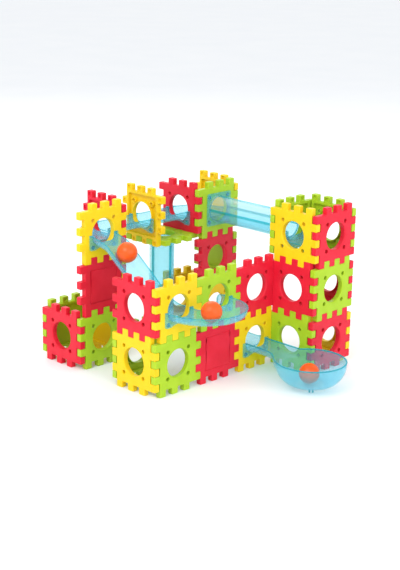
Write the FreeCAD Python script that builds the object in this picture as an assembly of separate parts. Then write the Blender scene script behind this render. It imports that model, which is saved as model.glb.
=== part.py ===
import FreeCAD, Part
import math
import os
from FreeCAD import Placement, Rotation, Vector

# A marble run: square panels with combed edges lock together into towers, and
# clear tracks, tubes and a bowl peg onto their holed faces.  Millimetres, +Z up.
# Panels stand on a square lattice.  A seam strip as wide as a tooth is long runs
# between two cells, and the teeth of both neighbours fill it in turn.

# --- panels ---
SLOT = 17.5            # one tooth or one gap along an edge
SLOTS_PER_SIDE = 6     # teeth and gaps together
SHEET = 12.5           # thickness of a panel
CORNER_SLIT = 2.5      # how far a tooth is longer than a sheet is thick
FIT_GAP = 0.15         # clearance between faces that meet
GROOVE_SIDE = 77.0     # square line sunk into a panel with no hole
GROOVE_WIDTH = 1.6
GROOVE_DEPTH = 0.8

# --- balls and the room they need ---
BALL_R = 22.5
BALL_LIFT = 0.3        # gap kept under a ball
HOLE_ROOM = 8.5        # panel hole beyond the ball, on the radius
CHANNEL_ROOM = 7.5     # track half width beyond the ball
CHANNEL_CORNER_R = 10.0  # between a track's floor and its walls, inside
TUBE_ROOM = 5.5        # tube bore beyond the ball, on the radius
BALL_RISE = 6.5        # middle of the ball above the track's rim

# --- pegs and the plates that carry them ---
PEG_HOLE_R = 4.6
PEG_CLEARANCE = 0.3
PEG_WEB = 6.8          # panel left between the ball hole and a peg hole
PEG_TIP_GAP = 0.75     # from the tip of a peg to the middle of the sheet
PLATE = 3.0            # thickness of a track's end plate
PLATE_SIDE = 11.0      # plate beyond the middle of a peg, sideways
PLATE_FOOT = 6.5       # plate below the middle of a peg
PLATE_ARCH = 6.0       # rise of the arch in the plate's lower edge
PLATE_CORNER_R = 5.0
TUBE_PLATE_SIDE = 9.0  # square tube plate beyond the middle of a peg

# --- tracks ---
WALL = 2.0
RIM_DROP = 4.5         # track rim below the middle of the panel hole
TURN_STUB = 15.0       # straight lead at each end of the U turn
INNER_TURN_STUB = 12.0
INNER_TURN_STEPS = 12
SLIDE_LEAD = 40.0      # gently sloping start of the slide
SLIDE_LEAD_ANGLE = 14.0
SLIDE_TOP_R = 50.0
SLIDE_BOTTOM_R = 90.0
SLIDE_FOOT = 5.0       # level end of the slide
TUBE_RIB = 1.6         # raised strips along a tube
TUBE_RIB_WIDTH = 4.0

# --- catching bowl ---
BOWL_RIM_R = 79.0
BOWL_LIP = 2.0         # rolled edge beyond the wall
BOWL_BASE_R = 31.0
BOWL_FOOT = 8.0        # height of the bowl's underside above the ground
BOWL_BELLY = 0.62      # how full the side is: 0.5 is a straight cone
BOWL_TOWER_GAP = 1.2   # between the rim and the corner of the right tower
BOWL_SIDESTEP = 9.0    # middle of the bowl beside the middle of its chute
PRONG_R = 1.8
PRONG_SPACING = 7.0
PRONG_FORWARD = 28.0   # prongs out from the bowl's middle
PRONG_TURN = 45.0      # way they lie, from straight in front towards the left

# --- where the balls wait ---
SLIDE_BALL_AT = 24.0   # along the steep stretch
TURN_BALL_ANGLE = 59.0  # round the U turn from its start
BOWL_BALL_OFFSET = 4.0

# --- worked out from the above ---
BODY = SLOTS_PER_SIDE * SLOT
TOOTH = SHEET + CORNER_SLIT
PITCH = BODY + TOOTH
MIDDLE = TOOTH + BODY / 2.0
HOLE_R = BALL_R + HOLE_ROOM
PEG_R = PEG_HOLE_R - PEG_CLEARANCE
PEG_LENGTH = SHEET / 2.0 - PEG_TIP_GAP
PEG_OFFSET = (HOLE_R + PEG_WEB + PEG_HOLE_R) / math.sqrt(2.0)
PLATE_HALF = PEG_OFFSET + PLATE_SIDE
PLATE_LOW = PEG_OFFSET + PLATE_FOOT
TUBE_PLATE_HALF = PEG_OFFSET + TUBE_PLATE_SIDE
CHANNEL_HALF = BALL_R + CHANNEL_ROOM
CHANNEL_DEPTH = BALL_R - BALL_RISE
CHANNEL_FLOOR = -RIM_DROP - CHANNEL_DEPTH      # from the middle of a hole
BALL_HEIGHT = BALL_RISE - RIM_DROP + BALL_LIFT  # above the middle of a hole
TUBE_R = BALL_R + TUBE_ROOM + WALL
ELBOW_R = MIDDLE - SHEET - FIT_GAP
BOWL_X = 2.0 * PITCH + MIDDLE - BOWL_SIDESTEP
BOWL_TO_CORNER = 3.0 * PITCH - BOWL_X  # sideways, to the right tower's corner
BOWL_CLEAR_R = max(BOWL_RIM_R + BOWL_TOWER_GAP, BOWL_TO_CORNER)
BOWL_Y = -PITCH - math.sqrt(BOWL_CLEAR_R ** 2 - BOWL_TO_CORNER ** 2)
BOWL_RIM_Z = MIDDLE - RIM_DROP
LONG = 10.0 * PITCH    # longer than anything that is cut

# Quarter turns about +Z that bring a shape facing the front to face another way.
HEADINGS = {"front": 0.0, "right": 90.0, "back": 180.0, "left": 270.0}

# name: (facing, column, row, level, has a hole)
PANELS = {
    "corner_low_left_yellow": ("left", 0, 0, 0, True),
    "corner_low_front_green": ("front", 0, 0, 0, True),
    "corner_low_back_green": ("back", 0, 1, 0, True),
    "corner_mid_left_red": ("left", 0, 0, 1, True),
    "corner_mid_front_yellow": ("front", 0, 0, 1, True),
    "wall_low_red": ("front", 1, 0, 0, False),
    "wall_mid_green": ("front", 1, 0, 1, True),
    "wall_low_yellow": ("front", 2, 0, 0, True),
    "wall_mid_red": ("front", 2, 0, 1, True),
    "right_low_left_green": ("left", 3, -1, 0, True),
    "right_low_front_red": ("front", 3, -1, 0, True),
    "right_low_side_yellow": ("right", 4, -1, 0, True),
    "right_mid_left_red": ("left", 3, -1, 1, True),
    "right_mid_front_green": ("front", 3, -1, 1, True),
    "right_mid_side_red": ("right", 4, -1, 1, True),
    "right_top_left_yellow": ("left", 3, -1, 2, True),
    "right_top_front_red": ("front", 3, -1, 2, True),
    "right_top_side_green": ("right", 4, -1, 2, True),
    "right_top_back_green": ("back", 3, 0, 2, True),
    "left_low_left_red": ("left", 0, 2, 0, True),
    "left_low_front_green": ("front", 0, 2, 0, True),
    "left_low_back_green": ("back", 0, 3, 0, False),
    "left_low_side_yellow": ("right", 1, 2, 0, False),
    "left_mid_front_red": ("front", 0, 2, 1, False),
    "left_mid_side_yellow": ("right", 1, 2, 1, True),
    "left_top_front_yellow": ("front", 0, 2, 2, True),
    "left_top_side_red": ("right", 1, 2, 2, True),
    "bridge_yellow": ("right", 2, 2, 2, True),
    "bridge_platform_green": ("up", 2, 2, 2, True),
    "centre_top_left_red": ("left", 3, 2, 2, True),
    "centre_top_front_green": ("front", 3, 2, 2, True),
    "centre_top_side_yellow": ("right", 4, 2, 2, False),
    "centre_mid_front_red": ("front", 3, 2, 1, True),
    "centre_mid_side_green": ("right", 4, 2, 1, False),
    "centre_low_front_yellow": ("front", 3, 2, 0, True),
    "centre_low_side_red": ("right", 4, 2, 0, True),
    "centre_low_back_yellow": ("back", 3, 3, 0, True),
}
COLUMNS = max(place[1] for place in PANELS.values())
ROWS = max(place[2] for place in PANELS.values())


def lattice(index):
    """Start of a seam strip, counted in cells."""
    return index * PITCH


def faced(shape, origin, heading):
    """Stand a shape drawn flat (x right, y up, z outward) at a place, facing a heading."""
    upright = Rotation(Vector(1, 0, 0), 90.0)
    turn = Rotation(Vector(0, 0, 1), HEADINGS[heading])
    placed = shape.copy()
    placed.Placement = Placement(origin, turn.multiply(upright))
    return placed


def turned(shape, angle, axis=Vector(0, 1, 0), centre=Vector(0, 0, 0)):
    """A copy turned about a line."""
    copy = shape.copy()
    copy.rotate(centre, axis, angle)
    return copy


def moved(shape, x=0.0, y=0.0, z=0.0):
    """A copy shifted."""
    copy = shape.copy()
    copy.translate(Vector(x, y, z))
    return copy


# ---------------------------------------------------------------- panels

def comb_outline():
    """Outline of a panel: every side starts with a gap, going round clockwise."""
    height = TOOTH - FIT_GAP
    half = BODY / 2.0
    side = []
    for slot in range(1, SLOTS_PER_SIDE, 2):
        start = slot * SLOT + FIT_GAP
        last = slot == SLOTS_PER_SIDE - 1
        end = (slot + 1) * SLOT - (0.0 if last else FIT_GAP)
        side += [(start, 0.0), (start, height), (end, height)]
        if not last:
            side.append((end, 0.0))
    points = []
    for quarter in range(4):
        for along, out in side:
            x, y = along - half, half + out
            for _ in range(quarter):
                x, y = y, -x
            points.append(Vector(x, y, 0))
    return Part.makePolygon(points + points[:1])


def peg_places(rows=(-1, 1)):
    """Middles of the peg holes round a ball hole."""
    return [(column * PEG_OFFSET, row * PEG_OFFSET) for column in (-1, 1) for row in rows]


def groove():
    """Square line sunk into a plain panel."""
    outer = GROOVE_SIDE
    inner = GROOVE_SIDE - 2.0 * GROOVE_WIDTH
    frame = Part.makeBox(outer, outer, GROOVE_DEPTH, Vector(-outer / 2.0, -outer / 2.0, -GROOVE_DEPTH))
    core = Part.makeBox(inner, inner, GROOVE_DEPTH, Vector(-inner / 2.0, -inner / 2.0, -GROOVE_DEPTH))
    return frame.cut(core)


def panel(holed):
    """One panel about its middle, outer face at z = 0."""
    sheet = Part.Face(comb_outline()).extrude(Vector(0, 0, -SHEET))
    if not holed:
        return sheet.cut(groove())
    below = Vector(0, 0, -SHEET)
    cutters = [Part.makeCylinder(HOLE_R, SHEET, below)]
    for x, y in peg_places():
        cutters.append(Part.makeCylinder(PEG_HOLE_R, SHEET, Vector(x, y, -SHEET)))
    return sheet.cut(cutters)


def panel_middle(facing, column, row, level):
    """Middle of a panel's outer face."""
    x, y, z = lattice(column), lattice(row), lattice(level)
    outer = TOOTH if facing in ("right", "back", "up") else 0.0
    if facing == "up":
        return Vector(x + MIDDLE, y + MIDDLE, z + outer)
    if facing in ("left", "right"):
        return Vector(x + outer, y + MIDDLE, z + MIDDLE)
    return Vector(x + MIDDLE, y + outer, z + MIDDLE)


def standing_panels():
    """Every panel in its place."""
    shapes = {True: panel(True), False: panel(False)}
    nodes = {}
    for name, (facing, column, row, level, holed) in PANELS.items():
        middle = panel_middle(facing, column, row, level)
        if facing == "up":
            nodes[name] = moved(shapes[holed], middle.x, middle.y, middle.z)
        else:
            nodes[name] = faced(shapes[holed], middle, facing)
    return nodes


# ---------------------------------------------------------------- tracks
# A port is the middle of a ball hole on a panel's face: x right, y up, z out.

def gutter_line(grow):
    """Edges down one wall of a track, over its floor and up the other wall."""
    half, floor, corner = CHANNEL_HALF + grow, CHANNEL_FLOOR - grow, CHANNEL_CORNER_R + grow
    flat, bend = half - corner, floor + corner
    slant = corner * math.sqrt(0.5)
    left = [Vector(-half, -RIM_DROP, 0), Vector(-half, bend, 0),
            Vector(-flat - slant, bend - slant, 0), Vector(-flat, floor, 0)]
    right = [Vector(-point.x, point.y, 0) for point in reversed(left)]
    return [Part.makeLine(left[0], left[1]), Part.Arc(*left[1:]).toShape(),
            Part.makeLine(left[3], right[0]), Part.Arc(*right[:3]).toShape(),
            Part.makeLine(right[2], right[3])]


def channel_face():
    """Cross-section of a track: a flat-floored gutter of even wall."""
    edges = gutter_line(0.0) + gutter_line(WALL)
    for side in (-1, 1):
        edges.append(Part.makeLine(Vector(side * CHANNEL_HALF, -RIM_DROP, 0),
                                   Vector(side * (CHANNEL_HALF + WALL), -RIM_DROP, 0)))
    return Part.Face(Part.Wire(Part.__sortEdges__(edges)))


def channel_hollow_face():
    """The space inside a track and above it."""
    high = BODY / 2.0
    corners = [Vector(CHANNEL_HALF, -RIM_DROP, 0), Vector(CHANNEL_HALF, high, 0),
               Vector(-CHANNEL_HALF, high, 0), Vector(-CHANNEL_HALF, -RIM_DROP, 0)]
    lid = [Part.makeLine(first, second) for first, second in zip(corners, corners[1:])]
    return Part.Face(Part.Wire(Part.__sortEdges__(gutter_line(0.0) + lid)))


def peg(x, y):
    """A peg that reaches back into the panel."""
    return Part.makeCylinder(PEG_R, PEG_LENGTH + FIT_GAP, Vector(x, y, -PEG_LENGTH))


def end_plate():
    """Plate that covers the lower half of a port, with its two pegs."""
    height = PLATE_LOW - RIM_DROP + WALL
    low = Vector(-PLATE_HALF, -PLATE_LOW, FIT_GAP)
    plate = Part.makeBox(2.0 * PLATE_HALF, height, PLATE, low)
    corners = [edge for edge in plate.Edges if edge_runs_along_z(edge)]
    plate = plate.makeFillet(PLATE_CORNER_R, corners)
    span = PEG_OFFSET - PEG_HOLE_R
    arch_r = (span ** 2 + PLATE_ARCH ** 2) / (2.0 * PLATE_ARCH)
    arch = Part.makeCylinder(arch_r, PLATE, Vector(0, PLATE_ARCH - arch_r - PLATE_LOW, FIT_GAP))
    hollow = channel_hollow_face().extrude(Vector(0, 0, LONG))
    plate = plate.cut([arch, hollow])
    return plate.fuse([peg(x, y) for x, y in peg_places(rows=(-1,))])


def edge_runs_along_z(edge):
    """True for a straight edge along z."""
    first, last = edge.Vertexes[0].Point, edge.Vertexes[-1].Point
    return abs(first.x - last.x) < 1e-6 and abs(first.y - last.y) < 1e-6


def whole(pieces):
    """Fuse pieces into one clean solid."""
    fused = pieces[0].fuse(pieces[1:]).removeSplitter()
    return fused.Solids[0] if len(fused.Solids) == 1 else fused


def straight_track(length):
    """A level track between two facing ports."""
    gutter = moved(channel_face(), z=FIT_GAP).extrude(Vector(0, 0, length - 2.0 * FIT_GAP))
    far = moved(turned(end_plate(), 180.0), z=length)
    return whole([gutter, end_plate(), far])


def curved_track(stub, radius, angle):
    """A level track that leads off straight, bends towards +x and ends straight."""
    axis = Vector(radius, 0, stub)
    bend = moved(channel_face(), z=stub).revolve(axis, Vector(0, 1, 0), angle)
    far_plate = turned(moved(turned(end_plate(), 180.0), z=2.0 * stub), angle, centre=axis)
    pieces = [bend, end_plate(), far_plate]
    if stub > FIT_GAP:
        lead = moved(channel_face(), z=FIT_GAP).extrude(Vector(0, 0, stub - FIT_GAP))
        run_out = moved(channel_face(), z=stub).extrude(Vector(0, 0, stub - FIT_GAP))
        pieces += [lead, turned(run_out, angle, centre=axis)]
    return whole(pieces)


def mirrored(shape):
    """A copy that bends the other way."""
    return shape.mirror(Vector(0, 0, 0), Vector(1, 0, 0))


def dropping_turn(drop):
    """A half turn towards +x that falls smoothly as it goes round."""
    radius = PITCH / 2.0
    axis = Vector(radius, 0, INNER_TURN_STUB)
    sections = []
    for step in range(INNER_TURN_STEPS + 1):
        share = step / INNER_TURN_STEPS
        fall = drop * (1.0 - math.cos(math.pi * share)) / 2.0
        section = moved(channel_face(), y=-fall, z=INNER_TURN_STUB)
        sections.append(turned(section, 180.0 * share, centre=axis).OuterWire)
    bend = Part.makeLoft(sections, True, False)
    lead = moved(channel_face(), z=FIT_GAP).extrude(Vector(0, 0, INNER_TURN_STUB - FIT_GAP))
    run_out = moved(lead, x=PITCH, y=-drop)
    far_plate = moved(end_plate(), x=PITCH, y=-drop)
    return whole([bend, lead, run_out, end_plate(), far_plate])


class SlideLine:
    """Side view of the slide: lead, bend down, steep stretch, bend out, level foot."""

    def __init__(self, run, drop):
        self.lead_angle = math.radians(SLIDE_LEAD_ANGLE)
        along, down = math.cos(self.lead_angle), math.sin(self.lead_angle)
        self.bend_start = (SLIDE_LEAD * along, -SLIDE_LEAD * down)
        self.top_centre = (self.bend_start[0] - SLIDE_TOP_R * down,
                           self.bend_start[1] - SLIDE_TOP_R * along)
        self.bottom_centre = (run - SLIDE_FOOT, SLIDE_BOTTOM_R - drop)
        across = self.bottom_centre[0] - self.top_centre[0]
        up = self.bottom_centre[1] - self.top_centre[1]
        radii = SLIDE_TOP_R + SLIDE_BOTTOM_R
        self.steep = math.sqrt(across ** 2 + up ** 2 - radii ** 2)
        self.angle = math.atan2(across, up) - math.atan2(self.steep, radii)
        self.steep_start = (self.top_centre[0] + SLIDE_TOP_R * math.sin(self.angle),
                            self.top_centre[1] + SLIDE_TOP_R * math.cos(self.angle))


def sloping(shape, angle, at):
    """Tip a port-frame shape down by an angle and put it on the slide's line."""
    tipped = turned(shape, math.degrees(angle), axis=Vector(1, 0, 0))
    return moved(tipped, y=at[1], z=at[0])


def slide_bend(angle_from, angle_to, centre, radius, at):
    """Bend of the slide in its own upright plane, above or below its centre."""
    section = sloping(channel_face(), angle_from, at)
    turn = math.degrees(angle_to - angle_from)
    return section.revolve(Vector(0, centre[1], centre[0]), Vector(1, 0, 0), turn)


def slide_track(line, run, drop):
    """The slide, from its upper port to a port lower down and facing it."""
    start = (FIT_GAP * math.cos(line.lead_angle), -FIT_GAP * math.sin(line.lead_angle))
    lead = channel_face().extrude(Vector(0, 0, SLIDE_LEAD - FIT_GAP))
    steep = channel_face().extrude(Vector(0, 0, line.steep))
    foot = moved(channel_face(), y=-drop, z=run - SLIDE_FOOT)
    steep_end = (line.steep_start[0] + line.steep * math.cos(line.angle),
                 line.steep_start[1] - line.steep * math.sin(line.angle))
    far = moved(turned(end_plate(), 180.0), y=-drop, z=run)
    gutter = whole([
        sloping(lead, line.lead_angle, start),
        slide_bend(line.lead_angle, line.angle, line.top_centre, SLIDE_TOP_R, line.bend_start),
        sloping(steep, line.angle, line.steep_start),
        slide_bend(line.angle, 0.0, line.bottom_centre, SLIDE_BOTTOM_R, steep_end),
        foot.extrude(Vector(0, 0, SLIDE_FOOT - FIT_GAP)),
    ])
    behind = Part.makeBox(LONG, LONG, LONG, Vector(-LONG / 2.0, -LONG / 2.0, FIT_GAP - LONG))
    return whole([gutter.cut(behind), end_plate(), far])


# ---------------------------------------------------------------- tubes

def tube_plate():
    """Square plate with four pegs at the end of a tube."""
    side = 2.0 * TUBE_PLATE_HALF
    plate = Part.makeBox(side, side, PLATE, Vector(-side / 2.0, -side / 2.0, FIT_GAP))
    corners = [edge for edge in plate.Edges if edge_runs_along_z(edge)]
    plate = plate.makeFillet(PLATE_CORNER_R, corners)
    return plate.fuse([peg(x, y) for x, y in peg_places()])


def tube(length):
    """A round tube between two facing ports, ribbed along its sides."""
    inside = length - 2.0 * FIT_GAP
    barrel = Part.makeCylinder(TUBE_R, inside, Vector(0, 0, FIT_GAP))
    pieces = [barrel, tube_plate(), moved(turned(tube_plate(), 180.0), z=length)]
    for quarter in range(4):
        low = Vector(TUBE_R - WALL, -TUBE_RIB_WIDTH / 2.0, FIT_GAP)
        rib = Part.makeBox(WALL + TUBE_RIB, TUBE_RIB_WIDTH, inside, low)
        pieces.append(turned(rib, 90.0 * quarter, axis=Vector(0, 0, 1)))
    bore = Part.makeCylinder(TUBE_R - WALL, LONG, Vector(0, 0, -LONG / 2.0))
    return whole(pieces).cut(bore)


# ---------------------------------------------------------------- bowl

def bowl_profile(radius, base_radius, base_z, top_z):
    """Half outline of a bowl as a face in the x-z plane."""
    base = Vector(base_radius, 0, base_z)
    rim = Vector(radius, 0, top_z)
    belly = Vector(base_radius + (radius - base_radius) * (0.5 + BOWL_BELLY / 2.0), 0,
                   base_z + (top_z - base_z) * (1.0 - BOWL_BELLY))
    edges = [Part.makeLine(Vector(0, 0, base_z), base), Part.Arc(base, belly, rim).toShape(),
             Part.makeLine(rim, Vector(0, 0, top_z)),
             Part.makeLine(Vector(0, 0, top_z), Vector(0, 0, base_z))]
    return Part.Face(Part.Wire(edges))


def spun(face):
    """Full turn of a profile about the z axis."""
    return face.revolve(Vector(0, 0, 0), Vector(0, 0, 1), 360.0)


def bowl():
    """Catching bowl with its chute, in place on the ground before its panel."""
    wall_r = BOWL_RIM_R - BOWL_LIP
    outside = spun(bowl_profile(wall_r, BOWL_BASE_R, BOWL_FOOT, BOWL_RIM_Z))
    lip = Part.makeCylinder(BOWL_RIM_R, WALL, Vector(0, 0, BOWL_RIM_Z - WALL))
    inside = spun(bowl_profile(wall_r - WALL, BOWL_BASE_R, BOWL_FOOT + WALL, BOWL_RIM_Z))
    prongs = [Part.makeCylinder(PRONG_R, BOWL_FOOT + WALL,
                                Vector(side * PRONG_SPACING / 2.0, -PRONG_FORWARD, FIT_GAP))
              for side in (-1, 1)]
    for prong in prongs:
        prong.rotate(Vector(0, 0, 0), Vector(0, 0, 1), -PRONG_TURN)
    reach = -BOWL_Y
    gutter = channel_face().extrude(Vector(0, 0, reach))
    hollow = channel_hollow_face().extrude(Vector(0, 0, reach))
    port = Vector(BOWL_SIDESTEP, reach, MIDDLE)
    chute = faced(moved(gutter, z=FIT_GAP), port, "front")
    solid = outside.fuse([lip] + prongs).cut(inside)
    solid = solid.fuse(chute.cut(outside)).cut([faced(hollow, port, "front")])
    return whole([solid.Solids[0], faced(end_plate(), port, "front")])


# ---------------------------------------------------------------- assembly

def tracks():
    """Every track, tube and the bowl, each at its port."""
    corner = Vector(MIDDLE, 0, lattice(1) + MIDDLE)
    top_z = lattice(2) + MIDDLE
    row_y = lattice(2) + MIDDLE
    slide_top = Vector(MIDDLE, lattice(2), top_z)
    slide_run = lattice(2) - SHEET
    line = SlideLine(slide_run, PITCH)
    bridge_in = lattice(2) + TOOTH - SHEET
    elbow = curved_track(FIT_GAP, ELBOW_R, 90.0)
    tube_length = lattice(2) - TOOTH
    under = Vector(lattice(2) + MIDDLE, row_y, lattice(2) + TOOTH - SHEET)
    hanging = moved(turned(tube(tube_length), 180.0, axis=Vector(1, 0, 0)), under.x, under.y, under.z)
    level_tube = faced(tube(tube_length), Vector(lattice(3) + MIDDLE, lattice(2), top_z), "front")
    inner_port = Vector(lattice(2) + MIDDLE, SHEET, lattice(1) + MIDDLE)
    return {
        "slide_track": faced(slide_track(line, slide_run, PITCH), slide_top, "front"),
        "u_turn_track": faced(curved_track(TURN_STUB, PITCH / 2.0, 180.0), corner, "front"),
        "inner_turn_track": faced(mirrored_turn(), inner_port - Vector(PITCH, 0, 0), "back"),
        "left_straight_track": faced(straight_track(bridge_in - lattice(1) - TOOTH),
                                     Vector(lattice(1) + TOOTH, row_y, top_z), "right"),
        "right_straight_track": faced(straight_track(lattice(3) - lattice(2) - TOOTH),
                                      Vector(lattice(2) + TOOTH, row_y, top_z), "right"),
        "left_elbow_track": faced(elbow, Vector(lattice(1) + TOOTH - SHEET, row_y, top_z), "left"),
        "centre_elbow_track": faced(mirrored(elbow), Vector(lattice(3) + SHEET, row_y, top_z), "right"),
        "right_elbow_track": faced(elbow, Vector(lattice(3) + SHEET, MIDDLE - PITCH, top_z), "right"),
        "level_tube": level_tube,
        "hanging_tube": hanging,
        "catching_bowl": moved(bowl(), BOWL_X, BOWL_Y),
    }


def mirrored_turn():
    """Dropping turn that bends towards -x, which is +X of a port facing the back."""
    return mirrored(dropping_turn(PITCH))


def balls():
    """The three balls where they wait on the run."""
    line = SlideLine(lattice(2) - SHEET, PITCH)
    ball = Part.makeSphere(BALL_R)
    along, down = math.cos(line.angle), math.sin(line.angle)
    run = line.steep_start[0] + SLIDE_BALL_AT * along + BALL_HEIGHT * down
    height = line.steep_start[1] - SLIDE_BALL_AT * down + BALL_HEIGHT * along
    turn = math.radians(TURN_BALL_ANGLE)
    turn_r = PITCH / 2.0
    bowl_z = BOWL_FOOT + WALL + BALL_R + BALL_LIFT
    return {
        "slide_ball": moved(ball, MIDDLE, lattice(2) - run, lattice(2) + MIDDLE + height),
        "turn_ball": moved(ball, MIDDLE + turn_r * (1.0 - math.cos(turn)),
                           -TURN_STUB - turn_r * math.sin(turn), lattice(1) + MIDDLE + BALL_HEIGHT),
        "bowl_ball": moved(ball, BOWL_X, BOWL_Y + BOWL_BALL_OFFSET, bowl_z),
    }


def model():
    """All nodes, shifted so that the origin is under the middle of the whole toy."""
    nodes = standing_panels()
    nodes.update(tracks())
    nodes.update(balls())
    front = BOWL_Y - BOWL_RIM_R
    back = lattice(ROWS) + TOOTH
    shift = Vector(-(lattice(COLUMNS) + TOOTH) / 2.0, -(front + back) / 2.0, -FIT_GAP)
    for shape in nodes.values():
        shape.translate(shift)
    return nodes


def main():
    """Write one STEP file per node."""
    os.makedirs("parts", exist_ok=True)
    for name, shape in model().items():
        shape.exportStep("parts/" + name + ".step")
        print(name, "solids", len(shape.Solids), "valid", shape.isValid(),
              "volume", round(shape.Volume / 1000.0, 1), "cm3")


main()
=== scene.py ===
"""Looks of a toy marble run: combed panels locked into towers, clear blue tracks, three balls."""

import logging
import math
from dataclasses import dataclass
from enum import Enum
from typing import Iterable, Sequence

import bmesh
import bpy
from mathutils import Matrix, Vector


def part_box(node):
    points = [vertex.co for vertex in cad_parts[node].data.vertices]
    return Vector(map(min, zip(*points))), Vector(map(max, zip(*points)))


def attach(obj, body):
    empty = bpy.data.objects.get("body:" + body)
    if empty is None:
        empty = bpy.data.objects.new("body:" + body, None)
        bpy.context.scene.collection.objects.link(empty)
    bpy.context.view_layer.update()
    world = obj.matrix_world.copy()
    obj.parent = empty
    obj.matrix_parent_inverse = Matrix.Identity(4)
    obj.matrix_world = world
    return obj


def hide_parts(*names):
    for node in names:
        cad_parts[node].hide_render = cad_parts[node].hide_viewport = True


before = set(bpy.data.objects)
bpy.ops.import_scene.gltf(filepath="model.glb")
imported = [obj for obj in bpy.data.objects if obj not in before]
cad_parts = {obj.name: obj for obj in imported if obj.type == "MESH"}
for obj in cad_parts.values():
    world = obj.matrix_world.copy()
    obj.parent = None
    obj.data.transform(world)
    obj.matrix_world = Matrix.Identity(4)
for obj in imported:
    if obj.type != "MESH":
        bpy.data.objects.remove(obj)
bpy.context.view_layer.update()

LOG = logging.getLogger("marble_run")
FIXED_BODY = "run"
WELD_DISTANCE = 1e-6
CUT_DISTANCE = 1e-7
SMALLEST_SINE = 1e-9

Point = tuple[float, float]
Loop = list[Point]


# ------------------------------------------------------------------ named choices

class Facing(Enum):
    """Which way a panel's outer face looks, as a quarter turn about the upright in degrees."""

    FRONT = 0
    RIGHT = 90
    BACK = 180
    LEFT = 270
    UP = -1

    def rotation(self) -> Matrix:
        """Turn a panel's own frame to this facing.

        Returns:
            The rotation that takes x right, y up, z outward to this facing.
        """
        if self is Facing.UP:
            return Matrix.Identity(4)
        return Matrix.Rotation(math.radians(self.value), 4, "Z") @ Matrix.Rotation(math.pi / 2, 4, "X")

    def outward(self) -> Vector:
        """Unit vector out of the panel's outer face."""
        return self.rotation().to_3x3() @ Vector((0.0, 0.0, 1.0))


class Side(Enum):
    """The face of a panel that a track plugs into."""

    OUTER = 1
    INNER = -1


class Bend(Enum):
    """Which way a quarter turn goes in plan."""

    RIGHT = 1
    LEFT = -1


class BendAxis(Enum):
    """The axis that a stretch of track bends about."""

    IN_PLAN = "Y"
    IN_SIDE_VIEW = "X"


class Density(Enum):
    """Material slot of a clear piece: rims and pegs look denser than walls; the pale slot is painted light on
    one half of each tube and on the bowl's base.
    """

    WALL = 0
    RIM = 1
    PALE = 2


# ------------------------------------------------------------------ shared sizes

@dataclass(frozen=True)
class ToySizes:
    """Sizes in metres that the panels, tracks and balls share."""

    slot: float = 0.0175
    slots_per_side: int = 6
    sheet: float = 0.0125
    corner_slit: float = 0.0025
    fit_gap: float = 0.00015
    ball_radius: float = 0.0225
    hole_room: float = 0.0085
    channel_room: float = 0.0075
    channel_corner: float = 0.010
    tube_room: float = 0.0055
    ball_rise: float = 0.0065
    peg_hole_radius: float = 0.0046
    peg_clearance: float = 0.0003
    peg_web: float = 0.0068
    peg_tip_gap: float = 0.00075
    plate: float = 0.003
    plate_side: float = 0.011
    plate_foot: float = 0.0065
    plate_arch: float = 0.006
    tube_plate_side: float = 0.009
    wall: float = 0.002
    rim_drop: float = 0.0045

    @property
    def body(self) -> float:
        """Side of a panel without its teeth."""
        return self.slots_per_side * self.slot

    @property
    def tooth(self) -> float:
        """Length of a tooth."""
        return self.sheet + self.corner_slit

    @property
    def pitch(self) -> float:
        """From one lattice line to the next."""
        return self.body + self.tooth

    @property
    def hole_radius(self) -> float:
        """Radius of the ball hole."""
        return self.ball_radius + self.hole_room

    @property
    def peg_radius(self) -> float:
        """Radius of a peg."""
        return self.peg_hole_radius - self.peg_clearance

    @property
    def peg_length(self) -> float:
        """How far a peg reaches into its panel."""
        return self.sheet / 2 - self.peg_tip_gap

    @property
    def peg_offset(self) -> float:
        """Middle of a peg hole beside and above the middle of the ball hole."""
        return (self.hole_radius + self.peg_web + self.peg_hole_radius) / math.sqrt(2)

    @property
    def channel_half(self) -> float:
        """Half width of a track at its rim."""
        return self.ball_radius + self.channel_room

    @property
    def channel_depth(self) -> float:
        """Depth of a track."""
        return self.ball_radius - self.ball_rise

    @property
    def channel_floor(self) -> float:
        """Height of a track's floor from the middle of a port, downwards negative."""
        return -self.rim_drop - self.channel_depth

    @property
    def elbow_radius(self) -> float:
        """Radius of a quarter turn inside a tower."""
        return self.tooth + self.body / 2 - self.sheet - self.fit_gap

    @property
    def tube_radius(self) -> float:
        """Outer radius of a tube."""
        return self.ball_radius + self.tube_room + self.wall


SIZES = ToySizes()


# ------------------------------------------------------------------ flat outlines

def inset(loop: Sequence[Point], distance: float) -> Loop:
    """Move a closed loop towards its left hand side.

    Args:
        loop: points in order; the material lies on the left.
        distance: how far every side moves.

    Returns:
        A loop with as many points.
    """
    moved: Loop = []
    count = len(loop)
    for index, (x, y) in enumerate(loop):
        before, after = loop[index - 1], loop[(index + 1) % count]
        first = Vector((x - before[0], y - before[1])).normalized()
        second = Vector((after[0] - x, after[1] - y)).normalized()
        left = Vector((-first.y - second.y, first.x + second.x))
        reach = distance / (1 + first.dot(second))
        moved.append((x + left.x * reach, y + left.y * reach))
    return moved


def circle(radius: float, centre: Point = (0.0, 0.0), steps: int = 64, hole: bool = False) -> Loop:
    """A round loop.

    Args:
        radius: its radius.
        centre: its middle.
        steps: number of points.
        hole: run clockwise, so that the material is outside.

    Returns:
        The loop.
    """
    way = -1 if hole else 1
    angles = [way * 2 * math.pi * step / steps for step in range(steps)]
    return [(centre[0] + radius * math.cos(a), centre[1] + radius * math.sin(a)) for a in angles]


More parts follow.
